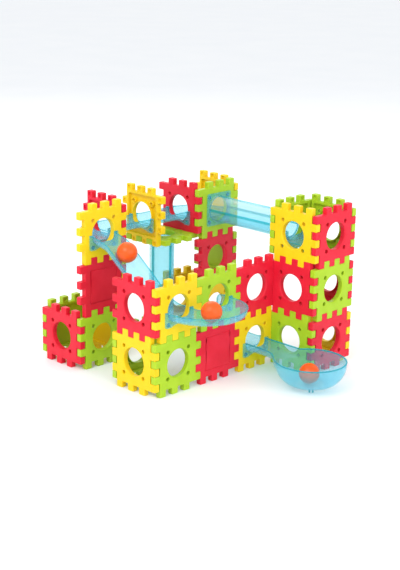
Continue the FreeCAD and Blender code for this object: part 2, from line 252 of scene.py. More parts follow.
def rounded(corners: Sequence[tuple[float, float, float]], steps: int = 4) -> Loop:
    """Round off the corners of a polygon.

    Args:
        corners: x, y and rounding radius of each corner.
        steps: straight pieces in each rounding.

    Returns:
        The rounded loop.
    """
    loop: Loop = []
    count = len(corners)
    for index, (x, y, radius) in enumerate(corners):
        if radius <= 0:
            loop.append((x, y))
            continue
        here = Vector((x, y))
        back = (Vector(corners[index - 1][:2]) - here).normalized()
        on = (Vector(corners[(index + 1) % count][:2]) - here).normalized()
        half = back.angle(on) / 2
        centre = here + (back + on).normalized() * (radius / math.sin(half))
        start = here + back * (radius / math.tan(half)) - centre
        end = here + on * (radius / math.tan(half)) - centre
        sweep = start.angle_signed(end)
        for step in range(steps + 1):
            spoke = start.copy()
            spoke.rotate(Matrix.Rotation(-sweep * step / steps, 2))
            loop.append((centre.x + spoke.x, centre.y + spoke.y))
    return loop


def square(half: float, corner: float = 0.0, centre: Point = (0.0, 0.0), hole: bool = False,
           steps: int = 4) -> Loop:
    """A square loop with round corners.

    Args:
        half: half its side.
        corner: radius of its corners.
        centre: its middle.
        hole: run clockwise.
        steps: straight pieces in each corner.

    Returns:
        The loop.
    """
    x, y = centre
    ends = [(x - half, y - half, corner), (x + half, y - half, corner),
            (x + half, y + half, corner), (x - half, y + half, corner)]
    loop = rounded(ends, steps)
    return loop[::-1] if hole else loop


def rounding(radius: float, steps: int = 4) -> list[Point]:
    """Quarter round of an edge, as inset and depth, from the face to the side."""
    angles = [math.pi / 2 * step / steps for step in range(steps + 1)]
    return [(radius * (1 - math.sin(a)), radius * (1 - math.cos(a))) for a in angles]


def slab_profile(front: float, back: float, radius: float, steps: int = 3) -> list[Point]:
    """Inset and height down the side of a slab whose two edges are rounded."""
    edge = rounding(radius, steps)
    return [(d, front - z) for d, z in edge] + [(d, back + z) for d, z in reversed(edge)]


# ------------------------------------------------------------------ mesh making

class MeshMaker:
    """Collects the vertices and faces of one piece."""

    def __init__(self) -> None:
        """Start empty, with nothing moved."""
        self.bm = bmesh.new()
        self.place = Matrix.Identity(4)
        self.slot = 0

    def ring(self, points: Iterable[Sequence[float]]) -> list[bmesh.types.BMVert]:
        """New vertices at these places."""
        return [self.bm.verts.new(self.place @ Vector(point)) for point in points]

    def face(self, verts: Sequence[bmesh.types.BMVert], slot: int | None = None) -> None:
        """Add one face.

        Args:
            verts: its corners, in order.
            slot: its material slot, where it isn't the maker's own.
        """
        new = self.bm.faces.new(verts)
        new.smooth = True
        new.material_index = self.slot if slot is None else slot

    def bridge(self, first: Sequence[bmesh.types.BMVert], second: Sequence[bmesh.types.BMVert],
               slots: Sequence[int] | None = None) -> None:
        """Join two closed rings with four-sided faces.

        Args:
            first: one ring.
            second: the next, with as many vertices.
            slots: material slot of each face round the ring.
        """
        count = len(first)
        for index in range(count):
            after = (index + 1) % count
            corners = (first[index], first[after], second[after], second[index])
            self.face(corners, slots[index] if slots else None)

    def tube(self, rings: Sequence[Sequence[bmesh.types.BMVert]],
             slots: Sequence[int] | None = None) -> None:
        """Join rings one after another."""
        for first, second in zip(rings, rings[1:]):
            self.bridge(first, second, slots)

    def wall(self, loop: Sequence[Point], profile: Sequence[Point]
             ) -> tuple[list[bmesh.types.BMVert], list[bmesh.types.BMVert]]:
        """Walls along a loop.

        Args:
            loop: the outline, with the material on its left.
            profile: inset and height of each ring.

        Returns:
            The first and the last ring.
        """
        rings = [self.ring((x, y, z) for x, y in inset(loop, d)) for d, z in profile]
        self.tube(rings)
        return rings[0], rings[-1]

    def fill(self, rings: Sequence[Sequence[bmesh.types.BMVert]], normal: Vector) -> None:
        """Flat face between an outline and the holes in it.

        Args:
            rings: outline and holes, in any order.
            normal: which way the face looks in the piece's own frame.
        """
        edges = []
        for ring in rings:
            for first, second in zip(ring, list(ring[1:]) + [ring[0]]):
                edges.append(self.bm.edges.get((first, second)) or self.bm.edges.new((first, second)))
        outward = self.place.to_3x3() @ normal
        made = bmesh.ops.triangle_fill(self.bm, use_beauty=True, edges=edges, normal=outward)
        for item in made["geom"]:
            if isinstance(item, bmesh.types.BMFace):
                item.smooth = True
                item.material_index = self.slot

    def pin(self, loop: Sequence[Point], profile: Sequence[Point]) -> None:
        """A closed shape whose sides follow a profile.

        Args:
            loop: its outline, with the material on the left.
            profile: inset and height of each ring.
        """
        first, last = self.wall(loop, profile)
        self.face(first)
        self.face(last)

    def mesh(self, name: str, sharp_from: float = 50.0) -> bpy.types.Mesh:
        """Hand the shape over.

        Args:
            name: name of the mesh.
            sharp_from: edges that turn more than this, in degrees, stay sharp.

        Returns:
            The finished mesh.
        """
        bmesh.ops.remove_doubles(self.bm, verts=self.bm.verts, dist=WELD_DISTANCE)
        bmesh.ops.recalc_face_normals(self.bm, faces=self.bm.faces)
        mesh = bpy.data.meshes.new(name)
        self.bm.to_mesh(mesh)
        self.bm.free()
        mesh.set_sharp_from_angle(angle=math.radians(sharp_from))
        return mesh


def show(name: str, mesh: bpy.types.Mesh, materials: Sequence[bpy.types.Material], body: str,
         node: str, place: Matrix | None = None) -> bpy.types.Object:
    """Put a finished piece in the scene for a node of the frame.

    Args:
        name: name of the piece.
        mesh: its shape.
        materials: its materials, where the mesh has none yet.
        body: the body it rides on.
        node: the node it stands for.
        place: where the mesh's own frame goes.

    Returns:
        The new object.
    """
    if not mesh.materials:
        for material in materials:
            mesh.materials.append(material)
    piece = bpy.data.objects.new(name, mesh)
    bpy.context.scene.collection.objects.link(piece)
    if place is not None:
        piece.matrix_world = place
    normals = piece.modifiers.new("even_shading", "WEIGHTED_NORMAL")
    normals.keep_sharp = True
    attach(piece, body)
    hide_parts(node)
    LOG.info("%s: %d faces on %s", name, len(mesh.polygons), body)
    return piece


# ------------------------------------------------------------------ finishes

def linear(code: str) -> tuple[float, float, float, float]:
    """A colour as the shaders want it.

    Args:
        code: six hex digits.

    Returns:
        Linear red, green and blue, and full opacity.
    """
    shares = [int(code[start:start + 2], 16) / 255 for start in (0, 2, 4)]
    red, green, blue = [c / 12.92 if c <= 0.04045 else ((c + 0.055) / 1.055) ** 2.4 for c in shares]
    return (red, green, blue, 1.0)


class NodeBoard:
    """Small helper that lays out the nodes of one material."""

    def __init__(self, name: str) -> None:
        """Start a material that holds only its output.

        Args:
            name: name of the material.
        """
        self.material = bpy.data.materials.new(name)
        self.material.use_nodes = True
        self.tree = self.material.node_tree
        self.tree.nodes.clear()
        self.output = self.tree.nodes.new("ShaderNodeOutputMaterial")
        self.where = self.tree.nodes.new("ShaderNodeTexCoord")

    def add(self, kind: str, **values: object) -> bpy.types.Node:
        """A node with some of its inputs set by name.

        Args:
            kind: Blender's name of the kind of node.
            values: the inputs, with an underscore for a space.

        Returns:
            The node.
        """
        node = self.tree.nodes.new(kind)
        for key, value in values.items():
            node.inputs[key.replace("_", " ")].default_value = value
        return node

    def link(self, start: bpy.types.NodeSocket, end: bpy.types.NodeSocket) -> None:
        """Join two sockets."""
        self.tree.links.new(start, end)

    def noise(self, scale: float, detail: float = 2.0) -> bpy.types.NodeSocket:
        """Soft random pattern over the piece.

        Args:
            scale: how fine it is.
            detail: how many finer patterns are in it.

        Returns:
            The pattern's socket, from 0 to 1.
        """
        node = self.add("ShaderNodeTexNoise", Scale=scale, Detail=detail)
        self.link(self.where.outputs["Object"], node.inputs["Vector"])
        return node.outputs["Fac"]

    def spread(self, source: bpy.types.NodeSocket, low: float, high: float,
               start: float = 0.3, end: float = 0.7) -> bpy.types.NodeSocket:
        """Stretch a pattern between two values.

        Args:
            source: the pattern.
            low: the value at its start.
            high: the value at its end.
            start: where in the pattern the low value is reached.
            end: where in the pattern the high value is reached.

        Returns:
            The stretched pattern's socket.
        """
        node = self.add("ShaderNodeMapRange")
        for key, value in zip(("From Min", "From Max", "To Min", "To Max"), (start, end, low, high)):
            node.inputs[key].default_value = value
        self.link(source, node.inputs["Value"])
        return node.outputs["Result"]

    def blend(self, share: bpy.types.NodeSocket, first: Sequence[float],
              second: Sequence[float]) -> bpy.types.NodeSocket:
        """Colour between two others.

        Args:
            share: pattern that says how much of the second colour there is.
            first: the colour at 0.
            second: the colour at 1.

        Returns:
            The blended colour's socket.
        """
        node = self.tree.nodes.new("ShaderNodeMix")
        node.data_type = "RGBA"
        self.link(share, node.inputs["Factor"])
        ends = [socket for socket in node.inputs if socket.type == "RGBA"]
        for socket, colour in zip(ends, (first, second)):
            socket.default_value = colour
        return next(socket for socket in node.outputs if socket.type == "RGBA")

    def bump(self, height: bpy.types.NodeSocket, strength: float, depth: float) -> bpy.types.NodeSocket:
        """Fine relief from a pattern.

        Args:
            height: the pattern.
            strength: how much of the relief is used.
            depth: its depth in metres.

        Returns:
            The socket that a shader's normal takes.
        """
        node = self.add("ShaderNodeBump", Strength=strength, Distance=depth)
        self.link(height, node.inputs["Height"])
        return node.outputs["Normal"]


@dataclass(frozen=True)
class MouldedPlastic:
    """Opaque injection-moulded plastic with a soft gloss."""

    name: str
    colour: str
    deep_colour: str
    roughness: tuple[float, float] = (0.36, 0.44)
    shine: float = 0.20
    coat: float = 0.04
    glow: float = 0.08
    cloud_scale: float = 22.0
    flow_scale: float = 45.0
    grain_scale: float = 1500.0
    grain_strength: float = 0.05
    grain_depth: float = 0.00003
    coat_roughness: float = 0.12
    glow_reach: tuple[float, float, float] = (0.006, 0.004, 0.003)

    def material(self) -> bpy.types.Material:
        """Colour clouds, uneven gloss and a fine moulded grain.

        Returns:
            The material.
        """
        board = NodeBoard(self.name)
        shader = board.add("ShaderNodeBsdfPrincipled")
        clouds = board.spread(board.noise(self.cloud_scale, detail=3.0), 0.0, 1.0)
        colour = board.blend(clouds, linear(self.colour), linear(self.deep_colour))
        board.link(colour, shader.inputs["Base Color"])
        board.link(board.spread(board.noise(self.flow_scale), *self.roughness), shader.inputs["Roughness"])
        grain = board.noise(self.grain_scale, detail=1.0)
        board.link(board.bump(grain, self.grain_strength, self.grain_depth), shader.inputs["Normal"])
        shader.inputs["Specular IOR Level"].default_value = self.shine
        shader.inputs["Coat Weight"].default_value = self.coat
        shader.inputs["Coat Roughness"].default_value = self.coat_roughness
        shader.inputs["Subsurface Weight"].default_value = self.glow
        shader.inputs["Subsurface Radius"].default_value = self.glow_reach
        shader.inputs["Subsurface Scale"].default_value = 1.0
        board.link(shader.outputs[0], board.output.inputs["Surface"])
        return board.material


@dataclass(frozen=True)
class ClearPlastic:
    """See-through tinted plastic: what is behind shows through, and grazing walls look denser."""

    name: str
    tint: str
    body_colour: str
    deep_colour: str
    least: float
    most: float
    roughness: tuple[float, float] = (0.05, 0.12)
    cloud_scale: float = 30.0
    gloss_scale: float = 150.0
    ripple_scale: float = 240.0
    ripple_strength: float = 0.10
    ripple_depth: float = 0.0001
    coat: float = 0.3
    coat_roughness: float = 0.04
    edge_blend: float = 0.35

    def material(self) -> bpy.types.Material:
        """A tinted window mixed with a glossy blue skin.

        Returns:
            The material.
        """
        board = NodeBoard(self.name)
        window = board.add("ShaderNodeBsdfTransparent")
        window.inputs["Color"].default_value = linear(self.tint)
        skin = board.add("ShaderNodeBsdfPrincipled")
        clouds = board.spread(board.noise(self.cloud_scale), 0.0, 1.0)
        board.link(board.blend(clouds, linear(self.body_colour), linear(self.deep_colour)),
                   skin.inputs["Base Color"])
        board.link(board.spread(board.noise(self.gloss_scale), *self.roughness), skin.inputs["Roughness"])
        ripples = board.noise(self.ripple_scale, detail=1.0)
        board.link(board.bump(ripples, self.ripple_strength, self.ripple_depth), skin.inputs["Normal"])
        skin.inputs["Coat Weight"].default_value = self.coat
        skin.inputs["Coat Roughness"].default_value = self.coat_roughness
        grazing = board.add("ShaderNodeLayerWeight", Blend=self.edge_blend)
        mix = board.add("ShaderNodeMixShader")
        share = board.spread(grazing.outputs["Facing"], self.least, self.most, 0.0, 1.0)
        board.link(share, mix.inputs[0])
        board.link(window.outputs[0], mix.inputs[1])
        board.link(skin.outputs[0], mix.inputs[2])
        board.link(mix.outputs[0], board.output.inputs["Surface"])
        return board.material


PANEL_FINISHES = {
    "red": MouldedPlastic("red_panel_plastic", "E0243A", "D41A31"),
    "yellow": MouldedPlastic("yellow_panel_plastic", "EECC1C", "E8C214"),
    "green": MouldedPlastic("lime_panel_plastic", "ABCB2C", "A0C224"),
}
BALL_FINISH = MouldedPlastic("orange_ball_plastic", "F4601C", "EE5414", roughness=(0.30, 0.38),
                             shine=0.28, coat=0.06, glow=0.35, cloud_scale=60.0)
CLEAR_WALL = ClearPlastic("clear_blue_wall", "DCF6FA", "B0E8FC", "A2E0F8", 0.09, 0.38)
CLEAR_RIM = ClearPlastic("clear_blue_rim", "ACEAEE", "38CADC", "2CBCD0", 0.24, 0.58)
# Pale clear plastic: painted light on one half of each tube and on the bowl's base, whose walls are as thick
# as the rest.
CLEAR_PALE = ClearPlastic("clear_blue_painted_light", "F0FBFC", "D6F2FC", "CCEDFA", 0.07, 0.34)


# ------------------------------------------------------------------ ports

@dataclass(frozen=True)
class Port:
    """The middle of a ball hole on one face of a panel, where a track plugs in."""

    panel: str
    facing: Facing
    side: Side = Side.OUTER

    def place(self) -> Matrix:
        """Frame of the port.

        Returns:
            Its place, with x right, y up and z out of the face that the track meets.
        """
        low, high = (Vector(corner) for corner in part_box(self.panel))
        outward = self.facing.outward()
        middle = (low + high) / 2
        thin_and_painted_light = min(high[axis] - low[axis] for axis in range(3))
        face = middle + outward * (thin_and_painted_light / 2 * self.side.value)
        turn = self.facing.rotation()
        if self.side is Side.INNER:
            turn = turn @ Matrix.Rotation(math.pi, 4, "Y")
        return Matrix.Translation(face) @ turn


# ------------------------------------------------------------------ panels

@dataclass
class Panel:
    """A square panel with combed edges, ball hole and peg holes, or a plain grooved one."""

    sizes: ToySizes = SIZES
    edge_round: float = 0.0011
    tip_corner: float = 0.0020
    root_corner: float = 0.0009
    hole_round: float = 0.0026
    bead_groove: float = 0.00035
    floor_depth: float = 0.0055
    frame_width: float = 0.0060
    frame_corner: float = 0.004
    frame_edge: float = 0.0008
    bead_gap: float = 0.0004
    bead_width: float = 0.0012
    bead_floor: Point = (0.0004, 0.0009)
    collar: float = 0.0026
    collar_edge: float = 0.0009
    collar_draft: float = 0.0002
    collar_foot: float = 0.0008
    boss_drop: float = 0.0010
    boss_width: float = 0.0022
    boss_edge: float = 0.0006
    boss_draft: float = 0.0003
    pocket_half: float = 0.0042
    pocket_depth: float = 0.0030
    pocket_lip: float = 0.0005
    pocket_ease: float = 0.3
    pocket_bottom: tuple[Point, Point] = ((0.15, 0.92), (0.4, 1.0))
    mark_half: float = 0.0036
    mark_depth: float = 0.0003
    groove_side: float = 0.077
    groove_width: float = 0.0026
    groove_depth: float = 0.0011
    groove_corner: float = 0.0012
    lips_per_groove: float = 3.5
    hole_steps: int = 128
    peg_hole_steps: int = 32

    def outline(self) -> Loop:
        """Combed outline, worked out clockwise with a gap at the start of every side.

        Returns:
            The outline, with the material on its left.
        """
        s = self.sizes
        height = s.tooth - s.fit_gap
        half = s.body / 2
        side: list[tuple[float, float, float]] = []
        for slot in range(1, s.slots_per_side, 2):
            start = slot * s.slot + s.fit_gap
            last = slot == s.slots_per_side - 1
            end = (slot + 1) * s.slot - (0.0 if last else s.fit_gap)
            side += [(start, 0.0, self.root_corner), (start, height, self.tip_corner),
                     (end, height, self.tip_corner)]
            if not last:
                side.append((end, 0.0, self.root_corner))
        corners = []
        for quarter in range(4):
            for along, out, radius in side:
                x, y = along - half, half + out
                for _ in range(quarter):
                    x, y = y, -x
                corners.append((x, y, radius))
        return rounded(corners[::-1], steps=3)

    def tooth_middles(self) -> list[Point]:
        """Find the teeth.

        Returns:
            The middle of every tooth.
        """
        s = self.sizes
        middles = []
        for slot in range(1, s.slots_per_side, 2):
            x, y = (slot + 0.5) * s.slot - s.body / 2, s.body / 2 + s.tooth / 2
            for _ in range(4):
                middles.append((x, y))
                x, y = y, -x
        return middles

    def pockets(self, maker: MeshMaker, half: float, top: float, depth: float) -> list[list]:
        """Square dents on all the teeth.

        Args:
            maker: where the faces go.
            half: half the side of a dent.
            top: height of the face that they are in.
            depth: how deep they are, negative where up is the way in.

        Returns:
            The ring of each dent's mouth.
        """
        lip = min(abs(depth) / 2, self.pocket_lip)
        ease = lip * self.pocket_ease
        sign = math.copysign(1.0, depth)
        profile = [(lip, top), (ease, top - sign * ease), (0.0, top - sign * lip)]
        profile += [(-abs(depth) * across, top - depth * down) for across, down in self.pocket_bottom]
        mouths = []
        for middle in self.tooth_middles():
            mouth, bottom = maker.wall(square(half, half / 4, middle, hole=True, steps=3), profile)
            maker.face(bottom)
            mouths.append(mouth)
        return mouths

    def back(self, maker: MeshMaker, outline_ring: list, hole_rings: list[list]) -> None:
        """Frame, sunk floor and dented teeth of the panel's inner side.

        Args:
            maker: where the faces go.
            outline_ring: last ring of the panel's outline.
            hole_rings: last ring of each hole, at the sunk floor.
        """
        s = self.sizes
        edge = self.frame_edge
        loop = square(s.body / 2 - self.frame_width, self.frame_corner, hole=True)
        profile = [(d, -s.sheet + z) for d, z in rounding(edge, steps=3)]
        profile += [(-edge, -self.floor_depth - edge / 2), (-2 * edge, -self.floor_depth)]
        mouth, floor = maker.wall(loop, profile)
        pockets = self.pockets(maker, self.pocket_half, -s.sheet, -self.pocket_depth)
        inward = Vector((0.0, 0.0, -1.0))
        maker.fill([outline_ring, mouth] + pockets, inward)
        maker.fill([floor] + hole_rings, inward)

    def ball_hole(self, maker: MeshMaker) -> tuple[list, list]:
        """Round hole with a beaded mouth and a collar inside.

        Args:
            maker: where the faces go.

        Returns:
            Its rings on the outer face and on the sunk floor.
        """
        s = self.sizes
        bead = self.hole_round + self.bead_gap
        groove = self.bead_groove
        near, far = self.bead_floor
        profile = [(bead + self.bead_width, 0.0), (bead + far, -groove), (bead + near, -groove), (bead, 0.0)]
        profile += [(d, -z) for d, z in rounding(self.hole_round, steps=6)]
        collar_round = rounding(self.collar_edge, steps=3)
        profile += [(d, -s.sheet + z) for d, z in reversed(collar_round)]
        profile += [(self.collar - d, -s.sheet + z) for d, z in collar_round]
        profile += [(self.collar + self.collar_draft, -self.floor_depth - self.collar_foot),
                    (self.collar + self.collar_foot, -self.floor_depth)]
        return maker.wall(circle(s.hole_radius, steps=self.hole_steps, hole=True), profile)

    def peg_hole(self, maker: MeshMaker, middle: Point) -> tuple[list, list]:
        """Small hole with a raised boss round it on the inner side.

        Args:
            maker: where the faces go.
            middle: middle of the hole.

        Returns:
            Its rings on the outer face and on the sunk floor.
        """
        s = self.sizes
        top = -s.sheet + self.boss_drop
        edge_round = rounding(self.boss_edge, steps=3)
        profile = [(d, -z) for d, z in edge_round]
        profile += [(d, top + z) for d, z in reversed(edge_round)]
        profile += [(self.boss_width - d, top + z) for d, z in edge_round]
        profile += [(self.boss_width + self.boss_draft, -self.floor_depth)]
        return maker.wall(circle(s.peg_hole_radius, middle, self.peg_hole_steps, hole=True), profile)

    def mesh(self, name: str, holed: bool) -> bpy.types.Mesh:
        """The whole panel about its middle, outer face at height 0.

        Args:
            name: name of the mesh.
            holed: with a ball hole and peg holes, or plain with a square groove.

        Returns:
            The mesh.
        """
        s = self.sizes
        maker = MeshMaker()
        front, back = maker.wall(self.outline(), slab_profile(0.0, -s.sheet, self.edge_round, steps=4))
        fronts = [front] + self.pockets(maker, self.mark_half, 0.0, self.mark_depth)
        backs: list[list] = []
        outward = Vector((0.0, 0.0, 1.0))
        if holed:
            rings = [self.ball_hole(maker)]
            for x in (-s.peg_offset, s.peg_offset):
                rings += [self.peg_hole(maker, (x, y)) for y in (-s.peg_offset, s.peg_offset)]
            fronts += [ring[0] for ring in rings]
            backs = [ring[1] for ring in rings]
        else:
            wide, deep = self.groove_width, self.groove_depth
            lip = wide / self.lips_per_groove
            profile = [(lip, 0.0), (0.0, -lip), (0.0, -deep), (-wide, -deep), (-wide, -lip),
                       (-wide - lip, 0.0)]
            loop = square(self.groove_side / 2, self.groove_corner, hole=True)
            mouth, core = maker.wall(loop, profile)
            fronts.append(mouth)
            maker.fill([core], outward)
        maker.fill(fronts, outward)
        self.back(maker, back, backs)
        return maker.mesh(name)


@dataclass
class Towers:
    """All the panels, each in its own colour and facing."""

    panel: Panel
    facings: dict[Facing, tuple[str, ...]]
    plain: tuple[str, ...]

    def build(self) -> None:
        """Make one mesh per colour and kind, and stand every panel in its node's place."""
        finishes = {colour: finish.material() for colour, finish in PANEL_FINISHES.items()}
        shapes = {holed: self.panel.mesh(f"panel_{'holed' if holed else 'plain'}", holed)
                  for holed in (True, False)}
        meshes: dict[tuple[str, bool], bpy.types.Mesh] = {}
        for facing, names in self.facings.items():
            for name in names:
                colour, holed = name.rsplit("_", 1)[1], name not in self.plain
                if (colour, holed) not in meshes:
                    copy = shapes[holed].copy()
                    copy.name = f"{colour}_panel_{'holed' if holed else 'plain'}"
                    meshes[(colour, holed)] = copy
                show(f"{name}_panel", meshes[(colour, holed)], [finishes[colour]], FIXED_BODY,
                     name, Port(name, facing).place())
        for shape in shapes.values():
            bpy.data.meshes.remove(shape)


TOWERS = Towers(
    panel=Panel(),
    facings={
        Facing.LEFT: (
            "corner_low_left_yellow", "corner_mid_left_red", "right_low_left_green",
            "right_mid_left_red", "right_top_left_yellow", "left_low_left_red",
            "centre_top_left_red"),
        Facing.FRONT: (
            "corner_low_front_green", "corner_mid_front_yellow", "wall_low_red", "wall_mid_green",
            "wall_low_yellow", "wall_mid_red", "right_low_front_red", "right_mid_front_green",
            "right_top_front_red", "left_low_front_green", "left_mid_front_red",
            "left_top_front_yellow", "centre_top_front_green", "centre_mid_front_red",
            "centre_low_front_yellow"),
        Facing.BACK: (
            "corner_low_back_green", "right_top_back_green", "left_low_back_green",
            "centre_low_back_yellow"),
        Facing.RIGHT: (
            "right_low_side_yellow", "right_mid_side_red", "right_top_side_green",
            "left_low_side_yellow", "left_mid_side_yellow", "left_top_side_red", "bridge_yellow",
            "centre_top_side_yellow", "centre_mid_side_green", "centre_low_side_red"),
        Facing.UP: ("bridge_platform_green",),
    },
    plain=("wall_low_red", "left_low_back_green", "left_low_side_yellow", "left_mid_front_red",
           "centre_mid_side_green", "centre_top_side_yellow"),
)


# ------------------------------------------------------------------ tracks

class Route:
    """Frames along a track's line: x right, y up, z onward, in the frame of its first port."""

    def __init__(self, start: Matrix, step: float = 0.0035) -> None:
        """Start at a frame.

        Args:
            start: the first frame.
            step: spacing of the frames that the stretches aim for.
        """
        self.frames = [start.copy()]
        self.step = step

    def forward(self, length: float) -> "Route":
        """Go straight on.

        Args:
            length: how far.

        Returns:
            This route.
        """
        base = self.frames[-1]
        count = max(1, math.ceil(length / self.step))
        self.frames += [base @ Matrix.Translation((0, 0, length * i / count)) for i in range(1, count + 1)]
        return self

    def bend(self, radius: float, angle: float, axis: BendAxis) -> "Route":
        """Go round an arc.

        Args:
            radius: radius of the arc.
            angle: how far, in radians; positive is to the right in plan, downwards in side view.
            axis: the axis that it bends about.

        Returns:
            This route.
        """
        base = self.frames[-1]
        reach = math.copysign(radius, angle)
        centre = Vector((reach, 0, 0)) if axis is BendAxis.IN_PLAN else Vector((0, -reach, 0))
        count = max(2, math.ceil(radius * abs(angle) / self.step))
        for index in range(1, count + 1):
            turn = Matrix.Rotation(angle * index / count, 4, axis.value)
            self.frames.append(base @ Matrix.Translation(centre) @ turn @ Matrix.Translation(-centre))
        return self

    def end_distances(self) -> list[tuple[float, float]]:
        """Measure along the line.

        Returns:
            The distance of every frame from the start and from the end.
        """
        places = [step.translation for step in self.frames]
        travelled = [0.0]
        for first, second in zip(places, places[1:]):
            travelled.append(travelled[-1] + (second - first).length)
        return [(there, travelled[-1] - there) for there in travelled]


@dataclass
class Gutter:
    """A clear track: flat floor, round corners, rolled rims that flare into ears at the end plates."""

    sizes: ToySizes = SIZES
    bead: float = 0.0014
    bead_height: float = 0.0005
    ear_rise: float = 0.0015
    ear_length: float = 0.013
    ear_sharpness: float = 2.2
    lip_thickness: float = 0.0019
    lip_start: float = 0.0010
    lip_ease: float = 0.0003
    lip_sag: float = 0.0002
    corner_steps: int = 9
    plate_round: float = 0.0007
    plate_top_corner: float = 0.0022
    plate_foot_corner: float = 0.005
    arch_steps: int = 16
    peg_tip: float = 0.0008
    peg_steps: int = 24

    @property
    def plate_half(self) -> float:
        """Half width of an end plate."""
        return self.sizes.peg_offset + self.sizes.plate_side

    def trough(self, grow: float, top: float) -> list[Point]:
        """Points down the left wall, over the floor and up the right wall.

        Args:
            grow: 0 for the inner face, the wall's thickness for the outer one.
            top: height where the walls end, from the port's middle.

        Returns:
            The points, left to right.
        """
        s = self.sizes
        corner = s.channel_corner + grow
        flat, bend = s.channel_half + grow - corner, s.channel_floor - grow + corner
        angles = [math.pi / 2 * step / self.corner_steps for step in range(self.corner_steps + 1)]
        right = [(flat + corner * math.sin(a), bend - corner * math.cos(a)) for a in angles]
        walls = [(flat + corner, bend + (top - bend) * share) for share in (0.5, 1.0)]
        floor = [(flat * step / 3, s.channel_floor - grow) for step in range(3)]
        half = floor + right + walls
        return [(-x, y) for x, y in reversed(half[1:])] + half

    def section(self, flare: float) -> tuple[Loop, list[int]]:
        """Closed cross-section.

        Args:
            flare: 0 along the track, 1 where the ears meet the plate.

        Returns:
            The loop, and the material slot of each of its sides.
        """
        s = self.sizes
        inner = self.trough(0.0, -s.rim_drop)
        outer = self.trough(s.wall, -s.rim_drop - self.lip_thickness)
        top = -s.rim_drop + self.bead_height + self.ear_rise * flare
        plain = outer[-1][0] + self.bead
        reach = plain + (self.plate_half - plain) * flare
        half = s.channel_half
        low = top - self.lip_thickness
        tip = self.lip_thickness / 2
        ease = self.lip_ease
        lip = [(half + ease, top - ease), (half + self.lip_start, top), (reach - tip, top)]
        lip += [(reach - tip + tip * math.sin(a), low + tip + tip * math.cos(a))
                for a in (math.pi / 4, math.pi / 2, 3 * math.pi / 4)]
        lip += [(reach - tip, low), (outer[-1][0] + ease, low - self.lip_sag)]
        mirrored = [(-x, y) for x, y in reversed(lip)]
        loop = inner + lip + outer[::-1] + mirrored
        walls = [Density.WALL.value] * (len(inner) - 1)
        rims = [Density.RIM.value] * (len(lip) + 1)
        return loop, walls + rims + walls + rims

    def flare_at(self, ends: tuple[float, float]) -> float:
        """How far the ears are out at a distance from the two ends."""
        near = min(ends) / self.ear_length
        return (1 - min(near, 1.0)) ** self.ear_sharpness

    def sweep(self, maker: MeshMaker, route: Route) -> None:
        """Pull the section along a route; what falls behind the first plate's plane is drawn on to it.

        Args:
            maker: where the faces go.
            route: the line that the section follows.
        """
        gap = self.sizes.fit_gap
        rings = []
        slots: list[int] = []
        for step, ends in zip(route.frames, route.end_distances()):
            loop, slots = self.section(self.flare_at(ends))
            onward = step.to_3x3() @ Vector((0, 0, 1))
            points = []
            for x, y in loop:
                point = step @ Vector((x, y, 0))
                if point.z < gap and onward.z > 0 and ends[0] < ends[1]:
                    point += onward * ((gap - point.z) / onward.z)
                points.append(point)
            rings.append(maker.ring(points))
        maker.tube(rings, slots)
        maker.face(rings[0], Density.RIM.value)
        maker.face(rings[-1], Density.RIM.value)

    def plate_outline(self) -> Loop:
        """Lower half of a square round the channel, with an arch in its foot.

        Returns:
            The outline, with the material on its left.
        """
        s = self.sizes
        middle_line = self.trough(s.wall / 2, -s.rim_drop)
        top = -s.rim_drop + self.bead_height + self.ear_rise
        low = -(s.peg_offset + s.plate_foot)
        span = s.peg_offset - s.peg_hole_radius
        arch_radius = (span ** 2 + s.plate_arch ** 2) / (2 * s.plate_arch)
        arch_centre = low + s.plate_arch - arch_radius
        reach = math.asin(span / arch_radius)
        angles = [reach * (1 - 2 * step / self.arch_steps) for step in range(self.arch_steps + 1)]
        arch = [(arch_radius * math.sin(a), arch_centre + arch_radius * math.cos(a), 0.0) for a in angles]
        half = self.plate_half
        side = middle_line[-1][0]
        corners = [(x, y, 0.0) for x, y in middle_line]
        top_corner, foot_corner = self.plate_top_corner, self.plate_foot_corner
        corners += [(side, top, 0.0), (half, top, top_corner), (half, low, foot_corner)]
        corners += arch + [(-half, low, foot_corner), (-half, top, top_corner), (-side, top, 0.0)]
        return rounded(corners[::-1], steps=5)

    def pegs(self, maker: MeshMaker, rows: Sequence[int]) -> None:
        """Pegs that reach back into the panel.

        Args:
            maker: where the faces go.
            rows: -1 for the two pegs below the ball hole, 1 for the two above it.
        """
        s = self.sizes
        profile = [(0.0, s.fit_gap + s.plate / 2), (0.0, s.fit_gap)]
        profile += [(d, -s.peg_length + z) for d, z in reversed(rounding(self.peg_tip, steps=3))]
        maker.slot = Density.RIM.value
        for column in (-1, 1):
            for row in rows:
                middle = (column * s.peg_offset, row * s.peg_offset)
                maker.pin(circle(s.peg_radius, middle, self.peg_steps), profile)
        maker.slot = Density.WALL.value

    def plate(self, maker: MeshMaker, place: Matrix) -> None:
        """An end plate with its pegs.

        Args:
            maker: where the faces go.
            place: frame of the port, in the maker's present frame.
        """
        s = self.sizes
        base = maker.place
        maker.place = base @ place
        profile = slab_profile(s.fit_gap + s.plate, s.fit_gap, self.plate_round)
        first, last = maker.wall(self.plate_outline(), profile)
        maker.fill([first], Vector((0.0, 0.0, 1.0)))
        maker.fill([last], Vector((0.0, 0.0, -1.0)))
        self.pegs(maker, rows=(-1,))
        maker.place = base

